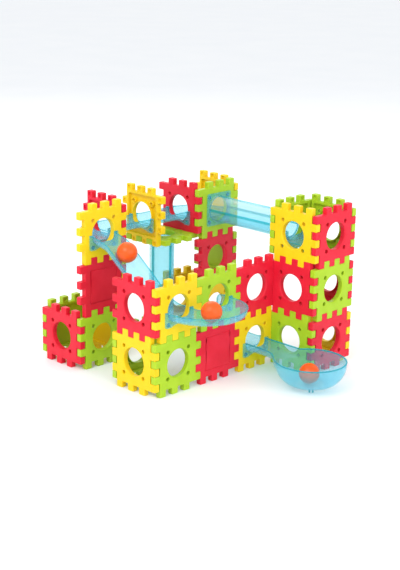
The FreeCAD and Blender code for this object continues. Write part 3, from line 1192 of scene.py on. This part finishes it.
    def track(self, node: str, port: Port, route: Route,
              materials: Sequence[bpy.types.Material]) -> None:
        """Build one track with a plate at each end.

        Args:
            node: the frame's node that it stands for.
            port: where it starts.
            route: its line, in the port's frame.
            materials: the clear plastics, in the order of Density.
        """
        maker = MeshMaker()
        self.sweep(maker, route)
        self.plate(maker, Matrix.Identity(4))
        gap = Matrix.Translation((0, 0, self.sizes.fit_gap))
        self.plate(maker, route.frames[-1] @ gap @ Matrix.Rotation(math.pi, 4, "Y"))
        mesh = maker.mesh(f"{node}_mesh")
        show(f"{node}_clear", mesh, materials, FIXED_BODY, node, port.place())


@dataclass
class Tracks:
    """The straight, curved, dropping and sloping tracks."""

    gutter: Gutter
    sizes: ToySizes = SIZES
    turn_stub: float = 0.015
    inner_stub: float = 0.012
    slide_lead: float = 0.040
    slide_lead_angle: float = math.radians(14.0)
    slide_top_radius: float = 0.050
    slide_bottom_radius: float = 0.090
    slide_foot: float = 0.005

    def start(self, angle: float = 0.0) -> Route:
        """A route that leaves its port just off the panel."""
        return Route(Matrix.Rotation(angle, 4, "X") @ Matrix.Translation((0, 0, self.sizes.fit_gap)))

    def straight(self, length: float) -> Route:
        """A level line between two ports that face each other, this far apart."""
        return self.start().forward(length - 2 * self.sizes.fit_gap)

    def elbow(self, way: Bend) -> Route:
        """A quarter turn between two walls of one tower."""
        return self.start().bend(self.sizes.elbow_radius, way.value * math.pi / 2, BendAxis.IN_PLAN)

    def level_turn(self) -> Route:
        """A level half turn outside the wall."""
        lead = self.turn_stub - self.sizes.fit_gap
        return self.start().forward(lead).bend(self.sizes.pitch / 2, math.pi, BendAxis.IN_PLAN).forward(lead)

    def dropping_turn(self) -> Route:
        """A half turn to the left that falls by one storey as it goes round.

        Returns:
            Its line, in its port's frame.
        """
        s = self.sizes
        lead = self.inner_stub - s.fit_gap
        route = self.start().forward(lead)
        first = len(route.frames)
        route.bend(s.pitch / 2, -math.pi, BendAxis.IN_PLAN)
        last = len(route.frames)
        route.forward(lead)
        for index in range(first, len(route.frames)):
            share = min(1.0, (index - first + 1) / (last - first))
            fall = s.pitch * (1 - math.cos(math.pi * share)) / 2
            route.frames[index] = Matrix.Translation((0, -fall, 0)) @ route.frames[index]
        return route

    def slide(self, run: float) -> Route:
        """The slide: gentle lead, bend down, steep stretch, bend out, level foot.

        Args:
            run: how far it goes in plan while it falls by one storey.

        Returns:
            Its line, in its port's frame.
        """
        s = self.sizes
        lead_angle = self.slide_lead_angle
        along, down = math.cos(lead_angle), math.sin(lead_angle)
        top_along = self.slide_lead * along - self.slide_top_radius * down
        top_up = -self.slide_lead * down - self.slide_top_radius * along
        across = run - self.slide_foot - top_along
        rise = self.slide_bottom_radius - s.pitch - top_up
        radii = self.slide_top_radius + self.slide_bottom_radius
        steep = math.sqrt(across ** 2 + rise ** 2 - radii ** 2)
        angle = math.atan2(across, rise) - math.atan2(steep, radii)
        route = self.start(lead_angle).forward(self.slide_lead - s.fit_gap)
        route.bend(self.slide_top_radius, angle - lead_angle, BendAxis.IN_SIDE_VIEW).forward(steep)
        route.bend(self.slide_bottom_radius, -angle, BendAxis.IN_SIDE_VIEW)
        return route.forward(self.slide_foot - s.fit_gap)

    def build(self, clear: Sequence[bpy.types.Material]) -> None:
        """Make all eight gutters.

        Args:
            clear: the clear plastics, in the order of Density.
        """
        s = self.sizes
        lines = (
            ("left_straight_track", Port("left_top_side_red", Facing.RIGHT),
             self.straight(s.pitch - s.sheet)),
            ("right_straight_track", Port("bridge_yellow", Facing.RIGHT), self.straight(s.pitch - s.tooth)),
            ("left_elbow_track", Port("left_top_side_red", Facing.RIGHT, Side.INNER), self.elbow(Bend.RIGHT)),
            ("centre_elbow_track", Port("centre_top_left_red", Facing.LEFT, Side.INNER),
             self.elbow(Bend.LEFT)),
            ("right_elbow_track", Port("right_top_left_yellow", Facing.LEFT, Side.INNER),
             self.elbow(Bend.RIGHT)),
            ("u_turn_track", Port("corner_mid_front_yellow", Facing.FRONT), self.level_turn()),
            ("inner_turn_track", Port("wall_mid_green", Facing.FRONT, Side.INNER), self.dropping_turn()),
            ("slide_track", Port("left_top_front_yellow", Facing.FRONT), self.slide(2 * s.pitch - s.sheet)),
        )
        for node, port, route in lines:
            self.gutter.track(node, port, route, clear)


# ------------------------------------------------------------------ tubes

@dataclass
class Tube:
    """A ribbed clear tube with a square pegged plate at each end."""

    gutter: Gutter
    sizes: ToySizes = SIZES
    rib: float = 0.0016
    rib_half_angle: float = math.radians(4.2)
    rib_foot: float = 1.6
    rib_flank: float = 2.2
    collar: float = 0.0016
    collar_length: float = 0.0075
    collar_edge: float = 0.0005
    collar_start: float = 0.8
    collar_shoulder: float = 0.6
    plate_corner: float = 0.005
    steps: int = 120

    def radius(self, angle: float, collar: float) -> float:
        """Outer radius, with four ribs and a collar.

        Args:
            angle: direction from the tube's axis.
            collar: how high the collar stands there.

        Returns:
            The radius.
        """
        off = abs((angle + math.pi / 4) % (math.pi / 2) - math.pi / 4)
        share = max(0.0, 1 - off / (self.rib_foot * self.rib_half_angle))
        rise = self.rib * min(1.0, self.rib_flank * share)
        return self.sizes.tube_radius + max(rise, collar)

    def barrel(self, maker: MeshMaker, length: float) -> None:
        """Wall of the tube between its two mouths.

        Args:
            maker: where the faces go.
            length: from one port to the other.
        """
        s = self.sizes
        gap, edge = s.fit_gap, self.collar_edge
        near = [(gap, self.collar_start), (s.plate + gap, 1.0), (self.collar_length - edge, 1.0),
                (self.collar_length, self.collar_shoulder), (self.collar_length + 2 * edge, 0.0)]
        stations = near + [(length / 2, 0.0)] + [(length - z, c) for z, c in reversed(near)]
        angles = [2 * math.pi * step / self.steps for step in range(self.steps)]
        slots = []
        for angle in angles:
            middle = angle + math.pi / self.steps
            ribbed = self.radius(middle, 0.0) > s.tube_radius + self.rib / 3
            # Painted light: the half on the port's +y side, the top of the level tube, takes the pale slot;
            # its wall is as thick as the rest.
            thin_and_painted_light = math.sin(middle) > 0
            slots.append((Density.RIM if ribbed else Density.PALE if thin_and_painted_light else Density.WALL).value)
        outer = [maker.ring((self.radius(a, self.collar * c) * math.cos(a),
                             self.radius(a, self.collar * c) * math.sin(a), z) for a in angles)
                 for z, c in stations]
        bore = s.tube_radius - s.wall
        inner = [maker.ring((bore * math.cos(a), bore * math.sin(a), z) for a in angles)
                 for z, _ in stations]
        maker.tube(outer, slots)
        maker.tube(inner, slots)
        for end in (0, -1):
            maker.bridge(outer[end], inner[end], [Density.RIM.value] * self.steps)

    def plate(self, maker: MeshMaker, place: Matrix) -> None:
        """Square plate round the mouth, with four pegs.

        Args:
            maker: where the faces go.
            place: frame of the port, in the maker's present frame.
        """
        s = self.sizes
        base = maker.place
        maker.place = base @ place
        half = s.peg_offset + s.tube_plate_side
        profile = slab_profile(s.fit_gap + s.plate, s.fit_gap, self.gutter.plate_round)
        outside = maker.wall(square(half, self.plate_corner, steps=6), profile)
        mouth = circle(s.tube_radius - s.wall / 2, steps=self.steps, hole=True)
        inside = maker.wall(mouth, [(0.0, s.fit_gap + s.plate), (0.0, s.fit_gap)])
        maker.fill([outside[0], inside[0]], Vector((0.0, 0.0, 1.0)))
        maker.fill([outside[1], inside[1]], Vector((0.0, 0.0, -1.0)))
        self.gutter.pegs(maker, rows=(-1, 1))
        maker.place = base

    def build(self, node: str, port: Port, materials: Sequence[bpy.types.Material]) -> None:
        """Make one tube from a port to the port that faces it.

        Args:
            node: the frame's node that it stands for.
            port: where it starts.
            materials: the clear plastics, in the order of Density.
        """
        length = 2 * self.sizes.pitch - self.sizes.tooth
        maker = MeshMaker()
        self.barrel(maker, length)
        self.plate(maker, Matrix.Identity(4))
        far = Matrix.Translation((0, 0, length)) @ Matrix.Rotation(math.pi, 4, "Y")
        self.plate(maker, far)
        mesh = maker.mesh(f"{node}_mesh")
        show(f"{node}_clear", mesh, materials, FIXED_BODY, node, port.place())


# ------------------------------------------------------------------ bowl

@dataclass
class Bowl:
    """Catching bowl whose chute flares into its rim on one side and meets it in a crease on the other."""

    gutter: Gutter
    sizes: ToySizes = SIZES
    rim_radius: float = 0.079
    lip: float = 0.002
    base_radius: float = 0.031
    foot: float = 0.008
    belly: float = 0.62
    sidestep: float = 0.009
    funnel: float = 0.075
    crease: float = 0.006
    least_ease: float = 0.0001
    rim_bead: float = 0.0016
    prong_radius: float = 0.0018
    prong_spacing: float = 0.007
    prong_forward: float = 0.028
    prong_turn: float = math.radians(45.0)
    prong_steps: int = 20
    chute_overshoot: float = 1.2
    base_rings: tuple[float, ...] = (0.02, 0.35, 0.7)
    side_steps: int = 14
    corner_steps: int = 10
    wall_steps: int = 3
    floor_step: float = 1e-5
    finest_turn: float = math.radians(0.3)
    turn_growth: float = 1.055
    fine_turns: int = 96
    far_turns: int = 46
    bead_steps: int = 12
    bead_width: float = 1.25

    def side_circle(self, grow: float) -> tuple[float, float, float]:
        """Circle that the bowl's side follows, as radius, middle across and middle up.

        Args:
            grow: 0 for the inner face, the wall's thickness for the outer one.

        Returns:
            Radius, distance of its middle from the bowl's axis, and height of its middle.
        """
        s = self.sizes
        top = s.tooth + s.body / 2 - s.rim_drop
        wide = self.rim_radius - self.lip - s.wall + grow
        low = self.foot + s.wall - grow
        base, rim = Vector((self.base_radius, low)), Vector((wide, top))
        bulge = Vector((base.x + (rim.x - base.x) * (0.5 + self.belly / 2),
                        base.y + (rim.y - base.y) * (1 - self.belly)))
        a, b = bulge - base, rim - base
        cross = 2 * (a.x * b.y - a.y * b.x)
        centre = Vector(((b.y * a.length_squared - a.y * b.length_squared) / cross,
                         (a.x * b.length_squared - b.x * a.length_squared) / cross))
        return centre.length, base.x + centre.x, base.y + centre.y

    def floor_height(self, grow: float) -> float:
        """Height of the chute's floor above the ground."""
        return self.sizes.tooth + self.sizes.body / 2 + self.sizes.channel_floor - grow

    def half_width(self, height: float, grow: float) -> float:
        """Half width of the chute.

        Args:
            height: height above the ground.
            grow: 0 for the inner face, the wall's thickness for the outer one.

        Returns:
            The half width there, 0 below the chute's floor.
        """
        s = self.sizes
        corner = s.channel_corner + grow
        above = height - self.floor_height(grow)
        if above <= 0:
            return 0.0
        flat = s.channel_half + grow - corner
        return flat + math.sqrt(corner ** 2 - max(corner - above, 0.0) ** 2)

    def heights(self, grow: float) -> list[float]:
        """Heights of the level lines, closer where the chute's corners are nearly flat.

        Args:
            grow: 0 for the inner face, the wall's thickness for the outer one.

        Returns:
            The heights above the ground, upwards.
        """
        s = self.sizes
        low = self.foot + s.wall - grow
        floor = self.floor_height(grow)
        corner = s.channel_corner + grow
        top = s.tooth + s.body / 2 - s.rim_drop
        below = [low + (floor - low) * (1 - math.cos(math.pi / 2 * step / self.side_steps))
                 for step in range(self.side_steps + 1)]
        bends = [floor + corner * (1 - math.cos(math.pi / 2 * step / self.corner_steps))
                 for step in range(1, self.corner_steps + 1)]
        walls = [bends[-1] + (top - bends[-1]) * step / self.wall_steps
                 for step in range(1, self.wall_steps + 1)]
        return below + [floor + self.floor_step] + bends + walls

    @staticmethod
    def smooth_max(first: float, second: float, blend: float) -> float:
        """The larger of two values, eased where they are close."""
        close = max(blend - abs(first - second), 0.0) / blend
        return max(first, second) + close * close * blend / 4

    def angles(self) -> list[float]:
        """Directions of the level lines' points, closest along the chute.

        Returns:
            The directions, once round from the chute's middle line.
        """
        near = [self.finest_turn * self.turn_growth ** step for step in range(self.fine_turns)]
        near = [angle for angle in near if angle < math.pi / 4]
        count = self.far_turns
        far = [math.pi / 4 + 3 * math.pi / 4 * step / count for step in range(count)]
        half = near + far
        return [0.0] + half + [math.pi] + [-angle for angle in reversed(half)]

    def reach(self, angle: float, height: float, grow: float, cut: float) -> float:
        """Distance of the wall from the point of the chute's middle line that is abreast of the bowl.

        Args:
            angle: direction from that point, 0 along the chute.
            height: height above the ground.
            grow: 0 for the inner face, the wall's thickness for the outer one.
            cut: how far the chute goes.

        Returns:
            The distance.
        """
        radius, across, up = self.side_circle(grow)
        round_wall = across + math.sqrt(max(radius ** 2 - (height - up) ** 2, 0.0))
        offset = self.sidestep * math.sin(angle)
        ring = -offset + math.sqrt(offset ** 2 - self.sidestep ** 2 + round_wall ** 2)
        width = self.half_width(height, grow)
        if width <= 0 or math.cos(angle) <= 0:
            return ring
        along = cut / math.cos(angle)
        sideways = width / max(abs(math.sin(angle)), SMALLEST_SINE)
        share = min(width / self.sizes.channel_half, 1.0)
        ease = max((self.funnel if angle < 0 else self.crease) * share, self.least_ease)
        return min(self.smooth_max(ring, min(along, sideways), ease), max(along, ring))

    def skin(self, maker: MeshMaker, grow: float, cut: float) -> list:
        """One face of the bowl and chute, from the middle of the base to the rim.

        Args:
            maker: where the faces go.
            grow: 0 for the inner face, the wall's thickness for the outer one.
            cut: how far the chute goes.

        Returns:
            The ring at the rim.
        """
        angles = self.angles()
        rings = []
        for height in self.heights(grow):
            reaches = [self.reach(angle, height, grow, cut) for angle in angles]
            rings.append([(self.sidestep + r * math.sin(a), r * math.cos(a), height)
                          for a, r in zip(angles, reaches)])
        base = rings[0]
        inner = [[(x * share, y * share, z) for x, y, z in base] for share in self.base_rings]
        verts = [maker.ring(points) for points in inner + rings]
        # Painted light: the base rings and the middle disc take the pale slot.
        pale = Density.PALE.value
        maker.tube(verts[:len(inner) + 1], [pale] * len(angles))
        maker.tube(verts[len(inner):])
        maker.face(verts[0], pale)
        return verts[-1]

    def rim(self, maker: MeshMaker, inner: list, outer: list) -> None:
        """Rolled edge along the top of the wall.

        Args:
            maker: where the faces go.
            inner: top ring of the inner face.
            outer: top ring of the outer face.
        """
        middles = [(a.co + b.co) / 2 for a, b in zip(inner, outer)]
        turn = maker.place.inverted()
        middles = [turn @ middle for middle in middles]
        rings = []
        count = len(middles)
        for index, middle in enumerate(middles):
            onward = middles[(index + 1) % count] - middles[index - 1]
            side = Vector((onward.y, -onward.x, 0)).normalized()
            points = []
            for step in range(self.bead_steps):
                angle = 2 * math.pi * step / self.bead_steps
                up = Vector((0, 0, self.rim_bead * math.sin(angle)))
                points.append(middle + side * (self.rim_bead * self.bead_width * math.cos(angle)) + up)
            rings.append(maker.ring(points))
        slots = [Density.RIM.value] * self.bead_steps
        maker.tube(rings + [rings[0]], slots)

    def build(self, node: str, port: Port, materials: Sequence[bpy.types.Material]) -> None:
        """Make the bowl before the panel that its chute plugs into.

        Args:
            node: the frame's node that it stands for.
            port: where its chute starts.
            materials: the clear plastics, in the order of Density.
        """
        s = self.sizes
        low = Vector(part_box(node)[0])
        port_place = port.place()
        front = port_place.translation.y
        middle_x = port_place.translation.x - self.sidestep
        middle_y = low.y + self.rim_radius
        ground = port_place.translation.z - s.tooth - s.body / 2
        reach = (front - middle_y) * self.chute_overshoot
        maker = MeshMaker()
        maker.place = Matrix.Translation((middle_x, middle_y, ground))
        inner = self.skin(maker, 0.0, reach)
        outer = self.skin(maker, s.wall, reach)
        maker.bridge(inner, outer, [Density.RIM.value] * len(inner))
        self.rim(maker, inner, outer)
        geometry = maker.bm.verts[:] + maker.bm.edges[:] + maker.bm.faces[:]
        cut = bmesh.ops.bisect_plane(maker.bm, geom=geometry, dist=CUT_DISTANCE, clear_outer=True,
                                     plane_co=(0, front - s.fit_gap, 0), plane_no=(0, 1, 0))
        edges = [item for item in cut["geom_cut"] if isinstance(item, bmesh.types.BMEdge)]
        bmesh.ops.triangle_fill(maker.bm, use_beauty=True, edges=edges, normal=(0, 1, 0))
        maker.slot = Density.RIM.value
        turn = Matrix.Rotation(-self.prong_turn, 2)
        for way in (-1, 1):
            middle = turn @ Vector((way * self.prong_spacing / 2, -self.prong_forward))
            maker.pin(circle(self.prong_radius, (middle.x, middle.y), self.prong_steps),
                      slab_profile(self.foot + s.wall / 2, s.fit_gap, self.prong_radius / 2))
        maker.slot = Density.WALL.value
        maker.place = port_place
        self.gutter.plate(maker, Matrix.Identity(4))
        mesh = maker.mesh(f"{node}_mesh")
        show(f"{node}_clear", mesh, materials, FIXED_BODY, node)


# ------------------------------------------------------------------ balls

@dataclass
class Ball:
    """A hollow plastic ball with a fine moulding seam round it."""

    seam_depth: float = 0.00010
    seam_half: float = 0.00035
    steps: int = 72
    rows: int = 34
    smooth_to: float = 80.0

    def mesh(self, name: str, radius: float) -> bpy.types.Mesh:
        """The ball about its middle.

        Args:
            name: name of the mesh.
            radius: radius of the ball.

        Returns:
            The mesh.
        """
        maker = MeshMaker()
        seam = self.seam_half / radius
        tilts = [math.pi / 2 * (1 - row / self.rows) for row in range(1, self.rows)]
        tilts = [tilt for tilt in tilts if tilt > 2 * seam] + [2 * seam, seam, 0.0]
        tilts += [-tilt for tilt in reversed(tilts[:-1])]
        rings = []
        for tilt in tilts:
            dip = self.seam_depth if abs(tilt) < seam / 2 else 0.0
            flat = (radius - dip) * math.cos(tilt)
            height = (radius - dip) * math.sin(tilt)
            rings.append(maker.ring((x, y, height) for x, y in circle(flat, steps=self.steps)))
        maker.tube(rings)
        for end, height in ((rings[0], radius), (rings[-1], -radius)):
            pole = maker.ring([(0.0, 0.0, height)])[0]
            for index, vert in enumerate(end):
                maker.face((vert, end[(index + 1) % self.steps], pole))
        return maker.mesh(name, sharp_from=self.smooth_to)

    def build(self, node: str, body: str, tilt: tuple[float, float],
              material: bpy.types.Material) -> None:
        """Put a ball where its node is.

        Args:
            node: the node it stands for.
            body: the body it rides on.
            tilt: how its seam lies, in degrees about X and Z.
            material: its finish.
        """
        low, high = (Vector(corner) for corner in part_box(node))
        radius = (high.z - low.z) / 2
        turn = Matrix.Rotation(math.radians(tilt[1]), 4, "Z") @ Matrix.Rotation(math.radians(tilt[0]), 4, "X")
        place = Matrix.Translation((low + high) / 2) @ turn
        show(f"{node}_shell", self.mesh(f"{node}_mesh", radius), [material], body,
             node, place)


BALL_PLACES = {
    "slide_ball": ("ball_on_slide", (35.0, 20.0)),
    "turn_ball": ("ball_on_turn", (80.0, 65.0)),
    "bowl_ball": ("ball_in_bowl", (115.0, 150.0)),
}


# ------------------------------------------------------------------ studio

@dataclass(frozen=True)
class Lamp:
    """A square soft lamp that looks at the middle of the toy; power in watts."""

    name: str
    place: tuple[float, float, float]
    size: float
    power: float
    colour: tuple[float, float, float]
    aim: tuple[float, float, float] = (0.0, 0.0, 0.15)

    def build(self) -> None:
        """Hang the lamp."""
        data = bpy.data.lights.new(self.name, "AREA")
        data.shape = "SQUARE"
        data.size = self.size
        data.energy = self.power
        data.color = self.colour
        lamp = bpy.data.objects.new(self.name, data)
        lamp.location = self.place
        onward = Vector(self.aim) - Vector(self.place)
        lamp.rotation_euler = onward.to_track_quat("-Z", "Y").to_euler()
        bpy.context.scene.collection.objects.link(lamp)


@dataclass
class Studio:
    """Pale floor, soft light and the camera."""

    camera_place: Vector
    lamps: Sequence[Lamp]
    azimuth: float = math.radians(44.767)
    elevation: float = math.radians(16.115)
    roll: float = math.radians(1.031)
    lens: float = 82.53
    sensor: float = 36.0
    sight: float = 200.0
    floor_half: float = 40.0
    floor_roughness: float = 0.85
    floor_tones: tuple[Sequence[float], Sequence[float]] = ((0.93, 0.94, 0.95, 1.0), (0.91, 0.925, 0.94, 1.0))
    mottle_scale: float = 3.0
    sky: tuple[float, float, float, float] = (0.965, 0.98, 1.0, 1.0)
    sky_strength: float = 1.0

    def camera(self) -> None:
        """Camera that looks down on one corner of the toy."""
        data = bpy.data.cameras.new("camera")
        data.lens = self.lens
        data.sensor_width = self.sensor
        data.clip_end = self.sight
        onward = Vector((math.cos(self.azimuth) * math.cos(self.elevation),
                         math.sin(self.azimuth) * math.cos(self.elevation), -math.sin(self.elevation)))
        right = onward.cross(Vector((0, 0, 1))).normalized()
        up = right.cross(onward)
        leaned_right = right * math.cos(self.roll) + up * math.sin(self.roll)
        leaned_up = up * math.cos(self.roll) - right * math.sin(self.roll)
        turn = Matrix((leaned_right, leaned_up, -onward)).transposed().to_4x4()
        camera = bpy.data.objects.new("camera", data)
        camera.matrix_world = Matrix.Translation(self.camera_place) @ turn
        bpy.context.scene.collection.objects.link(camera)
        bpy.context.scene.camera = camera

    def floor(self) -> None:
        """A wide floor of matt card."""
        board = NodeBoard("pale_floor")
        shader = board.add("ShaderNodeBsdfPrincipled")
        shader.inputs["Roughness"].default_value = self.floor_roughness
        mottle = board.spread(board.noise(self.mottle_scale), 0.0, 1.0)
        board.link(board.blend(mottle, *self.floor_tones), shader.inputs["Base Color"])
        board.link(shader.outputs[0], board.output.inputs["Surface"])
        maker = MeshMaker()
        maker.face(maker.ring((x, y, 0.0) for x, y in square(self.floor_half)))
        mesh = maker.mesh("floor")
        mesh.materials.append(board.material)
        floor = bpy.data.objects.new("floor", mesh)
        bpy.context.scene.collection.objects.link(floor)

    def build(self) -> None:
        """Set up everything that isn't the toy."""
        self.camera()
        self.floor()
        for lamp in self.lamps:
            lamp.build()
        bpy.context.scene.view_settings.view_transform = "Standard"
        world = bpy.data.worlds.new("soft_room")
        world.use_nodes = True
        sky = world.node_tree.nodes["Background"]
        sky.inputs["Color"].default_value = self.sky
        sky.inputs["Strength"].default_value = self.sky_strength
        bpy.context.scene.world = world


STUDIO = Studio(
    camera_place=Vector((-2.00266, -1.93037, 0.99359)),
    lamps=(
        Lamp("key_light", (-2.4, -0.6, 2.4), size=1.8, power=52.0, colour=(1.0, 0.985, 0.96)),
        Lamp("front_fill", (-0.4, -3.0, 1.3), size=2.2, power=33.0, colour=(0.96, 0.98, 1.0)),
        Lamp("back_light", (1.6, 2.4, 2.4), size=2.0, power=26.0, colour=(1.0, 1.0, 1.0)),
    ),
)


# ------------------------------------------------------------------ all together

def main() -> None:
    """Build the toy and its studio."""
    logging.basicConfig(level=logging.INFO, format="%(name)s: %(message)s")
    STUDIO.build()
    TOWERS.build()
    clear = [finish.material() for finish in (CLEAR_WALL, CLEAR_RIM, CLEAR_PALE)]
    gutter = Gutter()
    Tracks(gutter).build(clear)
    tube = Tube(gutter)
    tube.build("level_tube", Port("centre_top_front_green", Facing.FRONT), clear)
    tube.build("hanging_tube", Port("bridge_platform_green", Facing.UP, Side.INNER), clear)
    Bowl(gutter).build("catching_bowl", Port("wall_low_yellow", Facing.FRONT), clear)
    orange = BALL_FINISH.material()
    ball = Ball()
    for node, (body, tilt) in BALL_PLACES.items():
        ball.build(node, body, tilt, orange)


if __name__ == "__main__":
    main()
